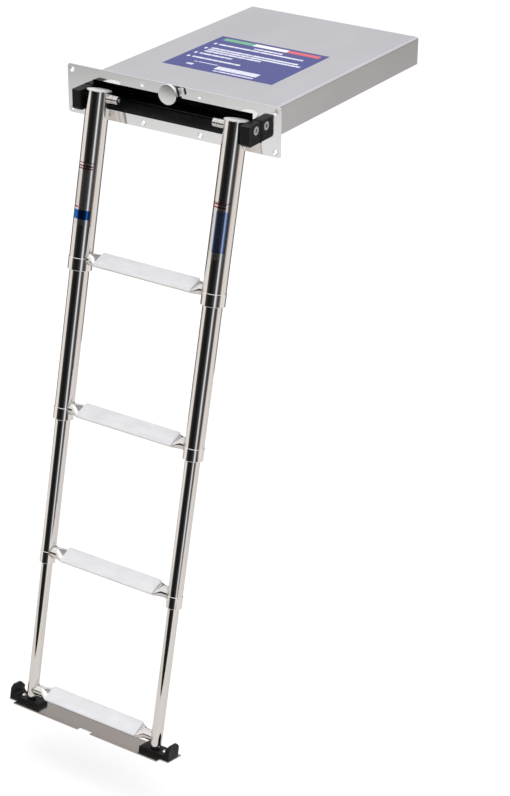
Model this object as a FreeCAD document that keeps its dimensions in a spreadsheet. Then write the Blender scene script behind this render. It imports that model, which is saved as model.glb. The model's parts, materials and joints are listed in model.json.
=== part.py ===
"""Boat boarding ladder: a four-step telescopic ladder on a sliding carriage in a flush-mounted box.

Frame: X across the ladder, +Y back into the box, +Z up, in millimetres. The origin is the centre of
the flange's rear face, which seats on the transom. The ladder is shown hung out and fully extended.
Everything that hangs from the pivot is drawn in the leg frame, with its origin on the pivot line
between the legs and -Z running down the legs, and is then placed and leaned as one.
"""
import FreeCAD, Part
import os
import re
import Sketcher

DIMS = {
    # mounting flange and its opening, which is wider at the bottom than at the top
    "flange_w": 400, "flange_tall": 80, "sheet_flange": 2, "flange_corner": 5,
    "hole_x_end": 191, "hole_x_mid": 54, "hole_z": 31.5, "hole_dia": 6.5, "sink_dia": 9.5,
    "open_top": 22, "open_bottom": -22, "open_step": 13.5, "open_half_top": 150, "open_half_low": 166.5,
    # box
    "box_half": 168, "box_tall": 47, "box_depth": 490, "sheet_box": 1.5, "box_bend": 4,
    "box_bend_in": 2.5, "base_gap": 0.05,
    # pivot line, legs and lean
    "pivot_y": -16.5, "pivot_z": 1.5, "leg_half": 129, "lean": 13,
    "od_one": 38, "od_two": 32, "od_three": 25, "od_four": 19, "wall": 1.5,
    "leg_top": 9.5, "end_one": 280, "end_two": 533, "end_three": 786, "end_four": 1039,
    "collar_tall": 21, "collar_step": 0.75, "collar_soft": 0.5, "bush_tall": 20, "glide_tall": 26,
    "slide_gap": 0.3, "stop_gap": 0.5, "tool_over": 5,
    # crossbars and treads
    "bar_up": 21, "bar_drop_four": 1018, "bar_r": 10, "bar_r_four": 8.8, "bar_wide": 14.5,
    "bar_thin": 4, "bar_wall": 1.2, "bar_round_to": 108, "bar_flat_from": 95, "leg_tool": 300,
    "tread_tilt": 28.5, "tread_half": 94, "tread_wide": 32, "tread_top": 7, "tread_low": 2.5,
    "tread_cut": 3, "screw_x": 60, "screw_r": 2, "screw_head_r": 4, "screw_head": 2.2, "screw_into": 5,
    # caps
    "cap_r": 19.9, "cap_thick": 2.5, "cap_plug": 1.6,
    # pivot hardware
    "bolt_r": 5, "bolt_head_r": 6.8, "bolt_head": 8, "head_gap": 0.3, "head_sunk": 0.2,
    "block_bore": 60, "hex_r": 3.5, "hex_deep": 4, "sleeve_r": 7,
    "sleeve_play": 0.05, "sleeve_out": 148.2, "sleeve_in": 99, "nut_gap": 0.4, "nut_long": 9,
    "washer_r": 8.5, "washer_x": 148.5,
    # slide blocks, their arms, the rails and the tie plate
    "block_in": 149.8, "block_out": 166, "block_front": -38, "block_top": 12.5, "block_bottom": -20.2,
    "block_bevel": 4, "arm_in": 151, "arm_out": 164.6, "arm_back": 92, "rail_in": 151, "rail_thick": 1.2,
    "rail_back": 480, "rail_top": 12.9, "tie_front": 45, "tie_back": 75, "tie_low": -20, "tie_top": 6,
    "tie_thick": 2.5, "tie_screw_z": -3, "tie_screw_long": 8,
    # latch
    "latch_z": 27.2, "knob_r": 17, "knob_back": -8, "knob_front": -14, "knob_bevel": 1.2, "hub_r": 6,
    "knob_face": 3,
    "spindle_r": 2.5, "spindle_bush_r": 3.7, "tongue_front": -5.6, "tongue_thick": 2, "tongue_wide": 13,
    "tongue_long": 27, "tongue_corner": 3, "tongue_angle": 15, "latch_washer_r": 3.5, "latch_washer": 1.8,
    # door plate and foot brackets
    "door_top": 1044.5, "door_thick": 2, "door_front": 25, "door_back": 24, "door_half": 165.5,
    "door_half_front": 149, "door_corner": 10, "notch_half": 13, "notch_deep": 9,
    "foot_tall": 8, "foot_in": 106, "foot_half": 14.5, "foot_ear_in": 157, "foot_out": 165,
    "foot_ear": 25, "foot_bevel": 6, "foot_slope": 3, "foot_step": 4, "foot_screw_x": 147,
    "foot_bolt_r": 3, "foot_bolt_head_r": 5, "foot_bolt_head": 3, "foot_bolt_into": 4,
}
SIDES = {"left": -1, "right": 1}
AXES = {
    "x": FreeCAD.Rotation(FreeCAD.Vector(0, 1, 0), 90),
    "y": FreeCAD.Rotation(FreeCAD.Vector(1, 0, 0), -90),
    "z": FreeCAD.Rotation(),
}
SECTIONS = {2: ("two", "one"), 3: ("three", "two"), 4: ("four", "three")}
parts = []

doc = FreeCAD.newDocument("BoardingLadder")
sheet = doc.addObject("Spreadsheet::Sheet", "Dims")
for row, (alias, value) in enumerate(DIMS.items(), start=1):
    sheet.set(f"A{row}", alias)
    sheet.set(f"B{row}", str(value))
    sheet.setAlias(f"B{row}", alias)
doc.recompute()


def expr(text):
    """Turn the dimension names in a formula into references to the sheet's cells."""
    return re.sub(r"[a-z_]+", lambda m: "Dims." + m[0] if m[0] in DIMS else m[0], str(text))


def cell(name):
    return float(sheet.get(name))


def bind(obj, **formulas):
    for prop, text in formulas.items():
        obj.setExpression(prop, expr(text))
    return obj


def move(obj, at, axis="z"):
    """Turn an object's own Z to the named axis and tie its place to three formulas."""
    obj.Placement = FreeCAD.Placement(FreeCAD.Vector(), AXES[axis])
    for letter, text in zip("xyz", at):
        obj.setExpression("Placement.Base." + letter, expr(text))
    return obj


def box(x, y, z):
    """A block between pairs of formulas along X, Y and Z."""
    obj = bind(doc.addObject("Part::Box", "Block"), Length=f"({x[1]}) - ({x[0]})",
               Width=f"({y[1]}) - ({y[0]})", Height=f"({z[1]}) - ({z[0]})")
    return move(obj, (x[0], y[0], z[0]))


def cylinder(radius, length, at, axis="z"):
    return move(bind(doc.addObject("Part::Cylinder", "Round"), Radius=radius, Height=length), at, axis)


def cone(radius, radius_end, length, at, axis="z"):
    obj = bind(doc.addObject("Part::Cone", "Taper"), Radius1=radius, Radius2=radius_end, Height=length)
    return move(obj, at, axis)


def sphere(radius, at):
    return move(bind(doc.addObject("Part::Sphere", "Ball"), Radius=radius), at)


def hexagon(radius, length, at, axis="x"):
    obj = doc.addObject("Part::Prism", "Hexagon")
    obj.Polygon = 6
    return move(bind(obj, Circumradius=radius, Height=length), at, axis)


def cut(base, *tools):
    for tool in tools:
        obj = doc.addObject("Part::Cut", "Cut")
        obj.Base, obj.Tool = base, tool
        base = obj
    return base


def fuse(*shapes):
    obj = doc.addObject("Part::MultiFuse", "Fuse")
    obj.Shapes = list(shapes)
    return obj


def group(*shapes):
    obj = doc.addObject("Part::Compound", "Group")
    obj.Links = list(shapes)
    return obj


def bevel(base, size, chosen, kind="Part::Chamfer"):
    """Chamfer or fillet the edges of base that the test chosen(edge) picks."""
    doc.recompute()
    numbers = [i for i, edge in enumerate(base.Shape.Edges, start=1) if chosen(edge)]
    obj = doc.addObject(kind, "Bevel")
    obj.Base = base
    obj.Edges = [(i, cell(size), cell(size)) for i in numbers]
    return obj


def runs_along(edge, axis):
    """Whether a straight edge is parallel to the named axis."""
    ends = [v.Point for v in edge.Vertexes]
    if len(ends) != 2 or edge.Curve.TypeId != "Part::GeomLine":
        return False
    step = ends[1] - ends[0]
    return abs(getattr(step, axis)) > 0.999 * step.Length


def fixed(obj, label):
    """Name a piece that is drawn straight in the ladder's own frame."""
    obj.Label = label
    parts.append(obj)
    return obj


def hung(obj, label):
    """Name a piece drawn in the leg frame, and hang it from the pivot at the lean of the legs."""
    obj.Placement = FreeCAD.Placement(FreeCAD.Vector(), FreeCAD.Rotation(FreeCAD.Vector(-1, 0, 0), 1))
    obj.setExpression("Placement.Base.y", expr("pivot_y"))
    obj.setExpression("Placement.Base.z", expr("pivot_z"))
    obj.setExpression("Placement.Rotation.Angle", expr("lean"))
    return fixed(obj, label)


def new_body(plane, offset="0"):
    """A body with an empty sketch on one of its origin planes, moved out along the plane's normal."""
    body = doc.addObject("PartDesign::Body", "Body")
    return body, new_sketch(body, plane, offset)


def new_sketch(body, plane, offset="0"):
    sketch = body.newObject("Sketcher::SketchObject", "Sketch")
    sketch.AttachmentSupport = [next(f for f in body.Origin.OriginFeatures if f.Role == plane)]
    sketch.MapMode = "FlatFace"
    sketch.setExpression("AttachmentOffset.Base.z", expr(offset))
    return sketch


def outline(sketch, corners):
    """Draw a closed outline of straight lines with every corner tied to two formulas."""
    first = sketch.GeometryCount
    count = len(corners)
    values = [FreeCAD.Vector(*(float(sheet_value(text)) for text in corner), 0) for corner in corners]
    for i in range(count):
        sketch.addGeometry(Part.LineSegment(values[i], values[(i + 1) % count]))
    for i in range(count):
        sketch.addConstraint(Sketcher.Constraint("Coincident", first + i, 2, first + (i + 1) % count, 1))
    for i, corner in enumerate(corners):
        for kind, text in zip(("DistanceX", "DistanceY"), corner):
            value = getattr(values[i], kind[-1].lower())
            number = sketch.addConstraint(Sketcher.Constraint(kind, -1, 1, first + i, 1, value))
            sketch.setExpression(f"Constraints[{number}]", expr(text))


def sheet_value(text):
    """The present value of a formula of dimension names."""
    return sheet.evalExpression(expr(text))


def circles(sketch, centres, radius):
    """Draw equal circles whose centres and radius are tied to formulas."""
    for centre in centres:
        at = FreeCAD.Vector(*(float(sheet_value(text)) for text in centre), 0)
        index = sketch.addGeometry(Part.Circle(at, FreeCAD.Vector(0, 0, 1), float(sheet_value(radius))))
        for kind, text, value in (("DistanceX", centre[0], at.x), ("DistanceY", centre[1], at.y)):
            number = sketch.addConstraint(Sketcher.Constraint(kind, -1, 1, index, 3, value))
            sketch.setExpression(f"Constraints[{number}]", expr(text))
        number = sketch.addConstraint(Sketcher.Constraint("Radius", index, float(sheet_value(radius))))
        sketch.setExpression(f"Constraints[{number}]", expr(radius))


def pad(body, sketch, length, midplane=False, reverse=False):
    feature = body.newObject("PartDesign::Pad", "Pad")
    feature.Profile = sketch
    feature.setExpression("Length", expr(length))
    feature.Midplane = midplane
    feature.Reversed = reverse
    return feature


def mirrored(points):
    """Complete a half outline on the +X side with its mirror image."""
    return points + [(f"-({x})", y) for x, y in reversed(points)]


# ---------------------------------------------------------------- flange and box

def make_flange():
    body, sketch = new_body("XZ_Plane")
    outline(sketch, mirrored([("flange_w / 2", "-flange_tall / 2"), ("flange_w / 2", "flange_tall / 2")]))
    outline(sketch, mirrored([("open_half_low", "open_bottom"), ("open_half_low", "open_step"),
                              ("open_half_top", "open_step"), ("open_half_top", "open_top")]))
    circles(sketch, [("0", "latch_z")], "spindle_bush_r")
    plate = pad(body, sketch, "sheet_flange")
    doc.recompute()
    corners = body.newObject("PartDesign::Fillet", "Corners")
    names = [f"Edge{i}" for i, e in enumerate(plate.Shape.Edges, start=1)
             if runs_along(e, "y") and abs(e.Vertexes[0].X) > cell("open_half_low") + 1]
    corners.Base = (plate, names)
    corners.setExpression("Radius", expr("flange_corner"))
    doc.recompute()
    marks = new_sketch(body, "XZ_Plane", "sheet_flange")
    circles(marks, [(f"{i} * {x}", f"{j} * hole_z") for i in (-1, 1) for j in (-1, 1)
                    for x in ("hole_x_end", "hole_x_mid")], "hole_dia / 2")
    doc.recompute()
    holes = body.newObject("PartDesign::Hole", "Holes")
    holes.Profile = marks
    doc.recompute()
    holes.DepthType = "ThroughAll"
    holes.setExpression("Diameter", expr("hole_dia"))
    holes.HoleCutType = "Countersink"
    holes.setExpression("HoleCutDiameter", expr("sink_dia"))
    holes.HoleCutCountersinkAngle = 90
    fixed(body, "flange_plate")


def make_box():
    """A folded top with two sides, and a bottom with the rear panel turned up from it."""
    def top_edges(edge):
        return runs_along(edge, "y") and edge.Vertexes[0].Z > 0
    outer = box(("-box_half", "box_half"), ("0", "box_depth"), ("-box_tall / 2", "box_tall / 2"))
    inner = box(("sheet_box - box_half", "box_half - sheet_box"), ("0", "box_depth"),
                ("-box_tall / 2", "box_tall / 2 - sheet_box"))
    fixed(cut(bevel(outer, "box_bend", top_edges, "Part::Fillet"),
              bevel(inner, "box_bend_in", top_edges, "Part::Fillet")), "box_shell")
    across = ("base_gap + sheet_box - box_half", "box_half - sheet_box - base_gap")
    bottom = box(across, ("0", "box_depth"), ("-box_tall / 2", "sheet_box - box_tall / 2"))
    rear = box(across, ("box_depth - sheet_box", "box_depth"),
               ("-box_tall / 2", "box_tall / 2 - sheet_box - base_gap"))
    fixed(fuse(bottom, bevel(rear, "box_bend", top_edges)), "box_base")


def make_rail(side, sign):
    """A folded channel on each side wall; the arm of the slide block runs between its ledges."""
    body, sketch = new_body("XZ_Plane")
    wall, low, high = "open_half_low", "open_bottom", "rail_top + rail_thick"
    points = [(wall, low), (wall, high), ("rail_in", high), ("rail_in", "rail_top"),
              (f"{wall} - rail_thick", "rail_top"), (f"{wall} - rail_thick", f"{low} + rail_thick"),
              ("rail_in", f"{low} + rail_thick"), ("rail_in", low)]
    outline(sketch, [(f"{sign} * ({x})", z) for x, z in points])
    pad(body, sketch, "rail_back", reverse=True)
    fixed(body, f"guide_rail_{side}")


# ---------------------------------------------------------------- slide blocks and pivot

def make_block(side, sign):
    def across(inner, outer):
        return tuple(f"{sign} * {x}" for x in ((inner, outer) if sign > 0 else (outer, inner)))
    head = box(across("block_in", "block_out"), ("block_front", "0"), ("block_bottom", "block_top"))
    nose = bevel(head, "block_bevel", lambda e: runs_along(e, "x") and e.Vertexes[0].Y < 0
                 and e.Vertexes[0].Z < 0)
    soft = bevel(nose, "sheet_box", lambda e: runs_along(e, "z") and e.Vertexes[0].Y < 0)
    arm = box(across("arm_in", "arm_out"), ("pivot_y", "arm_back"), ("block_bottom", "block_top"))
    centre = ("pivot_y", "pivot_z")
    bore = cylinder("bolt_r", "block_bore", (f"{sign} * block_out - block_bore / 2", *centre), "x")
    start = "block_out - bolt_head" if sign > 0 else "-block_out"
    sink = cylinder("bolt_head_r + head_gap", "bolt_head", (start, *centre), "x")
    screw = tie_screw_shank(sign)
    fixed(cut(fuse(soft, arm), bore, sink, screw), f"slide_block_{side}")


def tie_screw_shank(sign):
    start = "arm_in - tie_thick" if sign > 0 else "tie_thick - arm_in - tie_screw_long"
    return cylinder("screw_r", "tie_screw_long", (start, "(tie_front + tie_back) / 2", "tie_screw_z"), "x")


def make_tie():
    """A channel across the box, screwed to both arms, keeps the slide blocks from racking."""
    along = ("tie_front", "tie_back")
    whole = box(("-arm_in", "arm_in"), along, ("tie_low", "tie_top"))
    hollow = box(("tie_thick - arm_in", "arm_in - tie_thick"), along, ("tie_low + tie_thick", "tie_top"))
    return cut(whole, hollow)


def tie_screw(sign):
    start = "arm_in - tie_thick - screw_head" if sign > 0 else "tie_thick - arm_in"
    head = cylinder("screw_head_r", "screw_head", (start, "(tie_front + tie_back) / 2", "tie_screw_z"), "x")
    return fuse(tie_screw_shank(sign), head)


def make_pivot(side, sign):
    """The bolt a leg swings on, with a socket in its head and another in its tip, and its nut."""
    centre = ("pivot_y", "pivot_z")
    tip = "(sleeve_in - nut_gap - nut_long)"
    face = "(block_out - head_sunk)"
    under_head = "(block_out - bolt_head)"
    shank = cylinder("bolt_r", f"{under_head} - {tip}", (tip if sign > 0 else f"-{under_head}", *centre), "x")
    head = cylinder("bolt_head_r", f"{face} - {under_head}",
                    (under_head if sign > 0 else f"-{face}", *centre), "x")
    key = hexagon("hex_r", "hex_deep", (f"{face} - hex_deep" if sign > 0 else f"-{face}", *centre))
    tip_key = hexagon("hex_r", "hex_deep", (tip if sign > 0 else f"-{tip} - hex_deep", *centre))
    fixed(cut(fuse(shank, head), key, tip_key), f"pivot_bolt_{side}")
    start = tip if sign > 0 else "-(sleeve_in - nut_gap)"
    return cut(cylinder("bolt_head_r", "nut_long", (start, *centre), "x"),
               cylinder("bolt_r", "nut_long", (start, *centre), "x"))


def make_pivot_washer(sign):
    start = "washer_x" if sign > 0 else "-block_in"
    ring = cylinder("washer_r", "block_in - washer_x", (start, "pivot_y", "pivot_z"), "x")
    return cut(ring, cylinder("bolt_r", "block_in - washer_x", (start, "pivot_y", "pivot_z"), "x"))


# ---------------------------------------------------------------- latch

def make_latch():
    """A quarter-turn knob with its tongue behind it, on a spindle in a bush in the flange."""
    def on_axis(radius, front, back):
        return cylinder(radius, f"({back}) - ({front})", ("0", front, "latch_z"), "y")
    disc = bevel(on_axis("knob_r", "knob_front", "knob_back"), "knob_bevel",
                 lambda e: e.Curve.TypeId == "Part::GeomCircle")
    knob = fuse(disc, on_axis("hub_r", "knob_back", "tongue_front"))
    fixed(cut(knob, on_axis("spindle_r", "knob_front + knob_face", "tongue_front")), "latch_knob")
    fixed(group(on_axis("spindle_r", "knob_front + knob_face", "latch_washer")), "latch_spindle")
    strip = box(("0", "tongue_long"), ("tongue_front", "tongue_front + tongue_thick"),
                ("-tongue_wide / 2", "tongue_wide / 2"))
    round_end = bevel(strip, "tongue_corner", lambda e: runs_along(e, "y") and e.Vertexes[0].X > 1,
                      "Part::Fillet")
    eye = cylinder("tongue_wide / 2", "tongue_thick", ("0", "tongue_front", "0"), "y")
    hole = cylinder("spindle_r", "tongue_thick", ("0", "tongue_front", "0"), "y")
    tongue = cut(fuse(round_end, eye), hole)
    tongue.Placement = FreeCAD.Placement(FreeCAD.Vector(), FreeCAD.Rotation(FreeCAD.Vector(0, -1, 0), 1))
    tongue.setExpression("Placement.Base.z", expr("latch_z"))
    tongue.setExpression("Placement.Rotation.Angle", expr("tongue_angle"))
    fixed(tongue, "latch_tongue")
    fixed(cut(on_axis("spindle_bush_r", "-sheet_flange", "0"),
              on_axis("spindle_r + sleeve_play", "-sheet_flange", "0")), "latch_bush")
    fixed(cut(on_axis("latch_washer_r", "slide_gap", "latch_washer"),
              on_axis("spindle_r", "slide_gap", "latch_washer")), "latch_washer")


# ---------------------------------------------------------------- legs

def tube(outer, inner, top, bottom, x):
    """A ring of the leg frame from top down to bottom, both given as distances down the leg."""
    ring = cylinder(outer, f"({bottom}) - ({top})", (x, "0", f"-({bottom})"))
    return cut(ring, cylinder(inner, f"({bottom}) - ({top})", (x, "0", f"-({bottom})")))


def make_leg_one(side, sign):
    x = f"{sign} * leg_half"
    sleeve_hole = cylinder("sleeve_r", "od_one + 2 * tool_over",
                           (f"{x} - od_one / 2 - tool_over", "0", "0"), "x")
    outer = tube("od_one / 2", "od_one / 2 - wall", "-leg_top", "end_one", x)
    hung(cut(outer, sleeve_hole), f"outer_tube_{side}")
    disc = cylinder("cap_r", "cap_thick", (x, "0", "leg_top"))
    crown = bevel(disc, "sheet_box", lambda e: e.Curve.TypeId == "Part::GeomCircle"
                  and e.Vertexes[0].Z > cell("leg_top") + 1)
    plug = cylinder("od_one / 2 - wall", "cap_plug + cap_thick / 2", (x, "0", "leg_top - cap_plug"))
    hung(fuse(crown, plug), f"tube_cap_{side}")
    make_collar("one", 1, side, sign)


def make_inner_leg(number, word, above, side, sign):
    """A telescoping leg tube; the lowest one is closed with a round end."""
    outer, x = f"od_{word} / 2", f"{sign} * leg_half"
    if number < 4:
        hung(tube(outer, f"{outer} - wall", tube_top(above), f"end_{word}", x), f"tube_{number}_{side}")
        make_collar(word, number, side, sign)
        return
    length = f"end_four - {outer} - ({tube_top(above)})"
    base = (x, "0", f"{outer} - end_four")
    solid = fuse(cylinder(outer, length, base), sphere(outer, base))
    closed = cut(solid, cylinder(f"{outer} - wall", length, base), sphere(f"{outer} - wall", base),
                 foot_bolt_shank(sign))
    hung(closed, f"tube_{number}_{side}")


def make_sleeve(sign):
    start = "sleeve_in" if sign > 0 else "-sleeve_out"
    length = "sleeve_out - sleeve_in"
    return cut(cylinder("sleeve_r", length, (start, "0", "0"), "x"),
               cylinder("bolt_r + sleeve_play", length, (start, "0", "0"), "x"))


def make_collar(word, number, side, sign):
    ring = tube(f"od_{word} / 2 + collar_step", f"od_{word} / 2", f"end_{word} - collar_tall",
                f"end_{word}", f"{sign} * leg_half")
    rounded = bevel(ring, "collar_soft", lambda e: e.Curve.TypeId == "Part::GeomCircle"
                    and e.Curve.Radius > cell(f"od_{word}") / 2 + 0.1)
    hung(rounded, f"collar_{number}_{side}")


def make_bush(word, inner_word, sign):
    """The nylon ring fixed in the bottom of a tube, which guides the next tube down."""
    return tube(f"od_{word} / 2 - wall", f"od_{inner_word} / 2 + slide_gap", f"end_{word} - bush_tall",
                f"end_{word}", f"{sign} * leg_half")


def tube_top(above):
    return f"end_{above} - bush_tall - glide_tall - stop_gap"


def make_glide(word, above, sign):
    """The nylon ring round the top of an inner tube, which stops on the bush above."""
    top = tube_top(above)
    return tube(f"od_{above} / 2 - wall - slide_gap", f"od_{word} / 2", top, f"{top} + glide_tall",
                f"{sign} * leg_half")


# ---------------------------------------------------------------- steps

def loft(radius, shrink):
    """A round tube that is pressed flat between the legs, thinner all round by shrink."""
    stations = [("leg_half", radius, radius), ("bar_round_to", radius, radius),
                ("bar_flat_from", "bar_wide", "bar_thin")]
    stations = [(f"-{x}", a, b) for x, a, b in stations] + stations[::-1]
    rings = []
    for x, wide, thin in stations:
        ring = doc.addObject("Part::Ellipse", "Ring")
        bind(ring, MajorRadius=f"{wide} - {shrink} + 0.001", MinorRadius=f"{thin} - {shrink}")
        turn = FreeCAD.Rotation(FreeCAD.Vector(0, 1, 0), FreeCAD.Vector(0, 0, 1), FreeCAD.Vector(1, 0, 0))
        ring.Placement = FreeCAD.Placement(FreeCAD.Vector(), turn)
        ring.setExpression("Placement.Base.x", expr(x))
        rings.append(ring)
    bar = doc.addObject("Part::Loft", "Loft")
    bar.Sections = rings
    bar.Solid = True
    bar.Ruled = True
    return bar


def turned(obj, drop):
    """Carry a piece from the crossbar's tilted frame to the leg frame."""
    holder = group(obj)
    holder.Placement = FreeCAD.Placement(FreeCAD.Vector(), FreeCAD.Rotation(FreeCAD.Vector(1, 0, 0), 1))
    holder.setExpression("Placement.Base.z", expr(f"-({drop})"))
    holder.setExpression("Placement.Rotation.Angle", expr("tread_tilt"))
    return holder


def screw_shanks():
    length = "screw_into + bar_thin"
    return [cylinder("screw_r", length, (f"{i} * screw_x", "0", "-bar_thin")) for i in (-1, 1)]


def make_step(number, word, drop):
    """The crossbar, its tread and the two screws that hold the tread from below."""
    radius = "bar_r" if number < 4 else "bar_r_four"
    bar = cut(loft(radius, "0"), loft(radius, "bar_wall"), *screw_shanks())
    legs = []
    for sign in SIDES.values():
        x = f"{sign} * leg_half"
        legs.append(cylinder(f"od_{word} / 2", "leg_tool", (x, "0", f"-({drop}) - leg_tool / 2")))
        if number < 4:
            legs.append(cylinder(f"od_{word} / 2 + collar_step", "collar_tall", (x, "0", f"-end_{word}")))
    hung(group(cut(turned(bar, drop), *legs)), f"crossbar_{number}")

    slab = box(("-tread_half", "tread_half"), ("-tread_wide / 2", "tread_wide / 2"),
               ("tread_low", "tread_top"))
    ends = bevel(slab, "tread_cut", lambda e: runs_along(e, "z"))
    tread = cut(ends, loft(radius, "0"), *screw_shanks())
    hung(group(turned(tread, drop)), f"tread_{number}")

    heads = [cone("screw_head_r / 2", "screw_head_r", "screw_head", (f"{i} * screw_x", "0",
             "-bar_thin - screw_head")) for i in (-1, 1)]
    screws = [fuse(shank, head) for shank, head in zip(screw_shanks(), heads)]
    hung(group(turned(group(*screws), drop)), f"tread_{number}_screws")


# ---------------------------------------------------------------- door plate and feet

def foot_shank(sign):
    at = (f"{sign} * foot_screw_x", "0", "-door_top - door_thick")
    return cylinder("screw_r", "foot_tall + door_thick", at)


def foot_bolt_shank(sign):
    at = (f"{sign} * leg_half", "0", "-door_top - door_thick")
    return cylinder("foot_bolt_r", "door_top + door_thick - end_four + foot_bolt_into", at)


def make_door():
    body, sketch = new_body("XY_Plane", "-door_top - door_thick")
    half = [("notch_half", "notch_deep - door_front"), ("notch_half", "-door_front"),
            ("door_half_front", "-door_front"), ("door_half_front", "door_corner - door_front"),
            ("door_half", "door_corner - door_front"), ("door_half", "door_back")]
    outline(sketch, mirrored(half))
    pad(body, sketch, "door_thick")
    holes = [shank(sign) for sign in SIDES.values() for shank in (foot_shank, foot_bolt_shank)]
    hung(cut(body, *holes), "door_plate")


def make_foot(side, sign):
    """A moulded bracket with a dished seat for the tube's end and a tall ear at its outer end."""
    body, sketch = new_body("XZ_Plane")
    top, ear = "foot_tall - door_top", "foot_ear - door_top"
    points = [("foot_in", "-door_top"), ("foot_out", "-door_top"), ("foot_out", ear),
              ("foot_ear_in + foot_slope", ear), ("foot_ear_in", f"{ear} - foot_bevel"),
              ("foot_ear_in", f"{top} + foot_step"), ("foot_ear_in - foot_step", top), ("foot_in", top)]
    outline(sketch, [(f"{sign} * ({x})", z) for x, z in points])
    pad(body, sketch, "2 * foot_half", midplane=True)
    ears = bevel(body, "foot_bevel", lambda e: runs_along(e, "x")
                 and e.Vertexes[0].Z > cell("foot_ear") - cell("door_top") - 1)
    seat = sphere("od_four / 2", (f"{sign} * leg_half", "0", "od_four / 2 - end_four"))
    hung(cut(ears, seat, foot_shank(sign), foot_bolt_shank(sign)), f"foot_bracket_{side}")


def foot_screw(sign):
    at = (f"{sign} * foot_screw_x", "0")
    head = cone("screw_head_r", "screw_head_r / 2", "screw_head", (*at, "foot_tall - door_top"))
    return fuse(foot_shank(sign), head)


def foot_bolt(sign):
    """A bolt from below through the door plate and the bracket into the end of the leg."""
    head = cylinder("foot_bolt_head_r", "foot_bolt_head",
                    (f"{sign} * leg_half", "0", "-door_top - door_thick - foot_bolt_head"))
    return fuse(foot_bolt_shank(sign), head)


def make_all():
    make_flange()
    make_box()
    for side, sign in SIDES.items():
        make_rail(side, sign)
        make_block(side, sign)
    fixed(cut(make_tie(), *[tie_screw_shank(i) for i in (-1, 1)]), "tie_plate")
    fixed(group(*[tie_screw(i) for i in (-1, 1)]), "tie_screws")
    fixed(group(*[make_pivot(side, sign) for side, sign in SIDES.items()]), "pivot_nuts")
    fixed(group(*[make_pivot_washer(i) for i in (-1, 1)]), "pivot_washers")
    make_latch()
    for side, sign in SIDES.items():
        make_leg_one(side, sign)
    hung(group(*[make_sleeve(i) for i in (-1, 1)]), "pivot_sleeves")
    for number, (word, above) in SECTIONS.items():
        for side, sign in SIDES.items():
            make_inner_leg(number, word, above, side, sign)
        hung(group(*[make_glide(word, above, i) for i in (-1, 1)]), f"glides_{number}")
        hung(group(*[make_bush(above, word, i) for i in (-1, 1)]), f"bushes_{number - 1}")
    for number, word in enumerate(("one", "two", "three"), start=1):
        make_step(number, word, f"end_{word} - bar_up")
    make_step(4, "four", "bar_drop_four")
    make_door()
    for side, sign in SIDES.items():
        make_foot(side, sign)
    hung(group(*[make(sign) for sign in SIDES.values() for make in (foot_screw, foot_bolt)]), "foot_screws")


def check_and_write():
    doc.recompute()
    for obj in doc.Objects:
        bad = [s for s in obj.State if s in ("Invalid", "Error")]
        if bad:
            raise RuntimeError(f"{obj.Label} ({obj.Name}): {obj.State}")
    os.makedirs("parts", exist_ok=True)
    for obj in parts:
        if obj.Shape.isNull() or not obj.Shape.isValid() or not obj.Shape.Solids:
            raise RuntimeError(f"{obj.Label}: no valid solid")
    for obj in parts:
        obj.Shape.exportStep(f"parts/{obj.Label}.step")
        print(f"{obj.Label}: {len(obj.Shape.Solids)} solid(s), {obj.Shape.Volume:.0f} mm3")


make_all()
check_and_write()
print(len(parts), "parts")
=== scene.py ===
"""Finishes and fine detail for the boat boarding ladder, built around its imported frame.

Everything is in metres in the frame's own axes: X across the ladder, +Y inboard, +Z up.
The legs lean out from the pivot line, so most pieces are drawn from a distance down the leg.
"""
import json
import math

import bmesh
import bpy
import numpy as np
from mathutils import Matrix, Vector


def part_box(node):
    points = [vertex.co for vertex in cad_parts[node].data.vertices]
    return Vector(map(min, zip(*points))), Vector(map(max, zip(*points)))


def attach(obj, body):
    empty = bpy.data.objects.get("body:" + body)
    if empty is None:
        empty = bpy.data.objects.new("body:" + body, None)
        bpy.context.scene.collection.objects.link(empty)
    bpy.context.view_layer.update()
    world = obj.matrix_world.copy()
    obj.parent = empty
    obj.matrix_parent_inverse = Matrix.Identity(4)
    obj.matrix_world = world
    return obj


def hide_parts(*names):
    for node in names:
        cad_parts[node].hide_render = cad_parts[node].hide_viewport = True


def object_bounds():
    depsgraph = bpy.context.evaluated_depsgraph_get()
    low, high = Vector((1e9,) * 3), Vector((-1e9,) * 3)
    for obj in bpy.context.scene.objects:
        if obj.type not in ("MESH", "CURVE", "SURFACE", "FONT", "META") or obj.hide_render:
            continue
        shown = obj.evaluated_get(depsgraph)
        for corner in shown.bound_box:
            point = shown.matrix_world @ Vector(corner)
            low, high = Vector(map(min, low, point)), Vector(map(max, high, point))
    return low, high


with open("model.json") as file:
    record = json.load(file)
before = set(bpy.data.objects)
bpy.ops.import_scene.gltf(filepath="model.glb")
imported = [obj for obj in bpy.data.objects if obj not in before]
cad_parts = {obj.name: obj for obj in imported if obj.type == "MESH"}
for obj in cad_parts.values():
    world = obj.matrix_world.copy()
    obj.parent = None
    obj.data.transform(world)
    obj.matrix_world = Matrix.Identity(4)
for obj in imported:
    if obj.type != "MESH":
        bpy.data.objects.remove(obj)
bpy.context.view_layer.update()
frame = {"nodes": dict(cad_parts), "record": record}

MM = 0.001
JOINTS = {joint["name"]: joint for joint in frame["record"]["behaviour"]["joints"]}
PIVOT = np.array(JOINTS["ladder_swing"]["pos_m"])
UP_LEG = np.array(JOINTS["section_2_slide"]["axis"])
ACROSS = np.array([1.0, 0.0, 0.0])
BEHIND_LEG = np.cross(UP_LEG, ACROSS)
SIDES = {"left": -1, "right": 1}
TREAD_TILT = math.radians(15.5)


# ------------------------------------------------------------------ places on the frame

def middle(node):
    """The middle of a part's box."""
    low, high = (np.array(corner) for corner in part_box(node))
    return (low + high) / 2


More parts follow.
